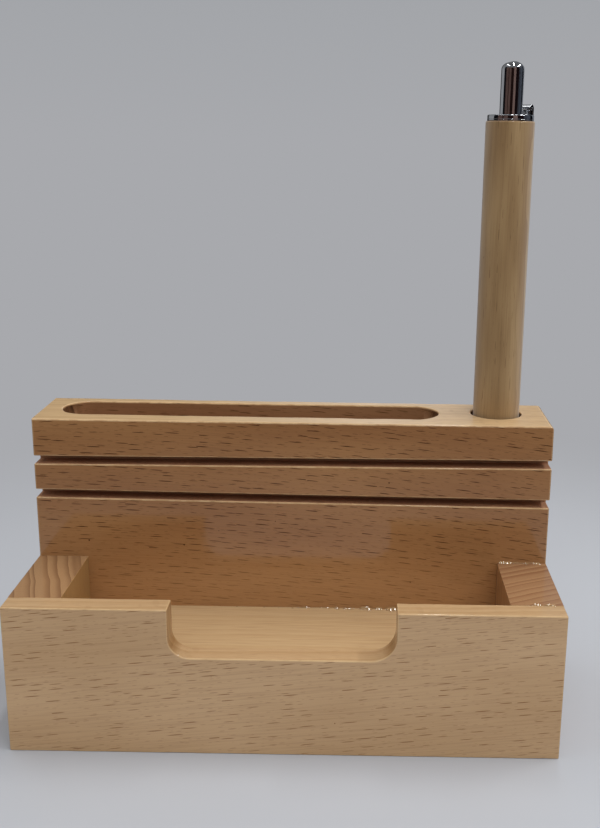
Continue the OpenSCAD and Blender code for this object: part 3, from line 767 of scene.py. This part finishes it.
# Each groove has sloping sides, a fifth of its width each
for groove in GROOVES:
    levels += [groove + share * GROOVE_W for share in (0.0, 0.2, 0.8, 1.0)]
outline = []
for level in sorted(levels):
    cut = any(groove + 0.1 * GROOVE_W < level < groove + 0.9 * GROOVE_W for groove in GROOVES)
    radius = cone_r - arc_r + math.sqrt(arc_r ** 2 - (CONE_H - level) ** 2)
    outline.append((radius - GROOVE_DEEP * cut, cone_low.z + level))
outline += [(STUB_R, cone_low.z + CONE_H), (STUB_R, cone_high.z), (CHAMBER_R, cone_high.z)]
outline += [(CHAMBER_R, cone_low.z + LEDGE), (TIP_HOLE_R, cone_low.z + LEDGE), (TIP_HOLE_R, cone_low.z)]
cone = turned("turned_nose_cone", outline, round_mm=0.05)
cone.data.materials.append(chrome)
fit(cone, "pen", "chrome_plate", "nose_cone")
dress(machined("brass_turned", "d8b766", "bd9a4a", 0.2, 0.35, 0.15), "nose_bush")

# Barrel. A straight tube of pale hardwood, turned, bored through and waxed, with its ends just broken. Its
# grain runs up the pen.
barrel_low, barrel_high = (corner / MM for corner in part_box("pen_barrel"))
BORE_R = 4.0
barrel_r = (barrel_high.x - barrel_low.x) / 2
barrel = turned("turned_barrel", [
    (BORE_R, barrel_low.z), (barrel_r, barrel_low.z), (barrel_r, barrel_high.z), (BORE_R, barrel_high.z),
], round_mm=0.3)
barrel.data.materials.append(beech(
    "hardwood_turned_waxed", (0, 0, 1), (0.3, 0.954, 0), ("ae9066", "92744e"), ("ad8f66", "93744e"),
    ("937450", "7f6141"), "5d4022", "b39468", slope=0.01, shift=33, ring_mm=3.2, wavy=2.0, flecked=0.5,
    streaky=0.28, patch=(40, 5, 5), lacquer=0.35, fuzz=0.38,
))
fit(barrel, "pen", "pen_wood", "pen_barrel")

# Click mechanism. Acetal mouldings inside the barrel: a guide sleeve with stop ribs, a toothed plunger
# under the button, and the blue rotor cam between it and the refill.
white_acetal = moulded("acetal_moulded_white", "e9e9e2", "dfdfd8", 0.42)
dress(white_acetal, "guide_sleeve")
dress(moulded("acetal_moulded_blue", "3f77b8", "376aa6", 0.42), "rotor_cam")
SHARP_MOULD = 0.0
plunger = softened("plunger_crown", "moulded_plunger", lambda at: SHARP_MOULD)
smooth_faces(plunger)
plunger.data.materials.append(white_acetal)
fit(plunger, "button", "moulded_white", "plunger_crown")

# Collar and clip. A turned collar is pressed into the barrel's top and holds down the clip, one springy
# steel stamping that comes up beside the button, turns over and runs down behind the barrel.
collar_low, collar_high = (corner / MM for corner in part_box("clip_collar"))
INSERT_R, BUTTON_HOLE_R, RIM_H, RIM_ROUND = 3.95, 2.65, 1.0, 0.3
collar_r = (collar_high.x - collar_low.x) / 2
rim = collar_high.z - RIM_H
bulge = 0.3 * RIM_ROUND
collar = turned("turned_collar", [
    (BUTTON_HOLE_R, collar_low.z), (INSERT_R, collar_low.z), (INSERT_R, rim), (collar_r, rim),
    (collar_r, collar_high.z - RIM_ROUND), (collar_r - bulge, collar_high.z - bulge),
    (collar_r - RIM_ROUND, collar_high.z), (BUTTON_HOLE_R, collar_high.z),
], round_mm=0.04)
collar.data.materials.append(chrome)
fit(collar, "pen", "chrome_plate", "clip_collar")
PRESSED_EDGE = 0.08
for node, body in (("clip_washer", "pen"), ("clip_arm", "clip")):
    stamping = softened(node, f"pressed_{node}", lambda at: PRESSED_EDGE)
    smooth_faces(stamping, sharp_degrees=35)
    stamping.data.materials.append(chrome)
    fit(stamping, body, "chrome_plate", node)

# Push button. A drawn and plated cap with a domed end. It slides in the collar and carries the plunger, and
# its flange stops it from coming out.
button_low, button_high = (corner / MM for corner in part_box("click_button"))
BUTTON_R, DOME_H, FLANGE_H, SOCKET_R, SOCKET_TOP = 2.55, 1.8, 1.5, 2.05, 139.1
DOME_STEPS = 16
flange_r = (button_high.x - button_low.x) / 2
dome_foot, flange_top = button_high.z - DOME_H, button_low.z + FLANGE_H
quarter_turn = [math.pi / 2 * step / DOME_STEPS for step in range(DOME_STEPS)]
outline = [(BUTTON_R * math.cos(angle), dome_foot + DOME_H * math.sin(angle)) for angle in quarter_turn]
outline += [(0, button_high.z), (0, SOCKET_TOP), (SOCKET_R, SOCKET_TOP), (SOCKET_R, button_low.z)]
outline += [(flange_r, button_low.z), (flange_r, flange_top), (BUTTON_R, flange_top)]
button = turned("domed_button", outline, round_mm=0.1)
button.data.materials.append(chrome)
fit(button, "button", "chrome_plate", "click_button")
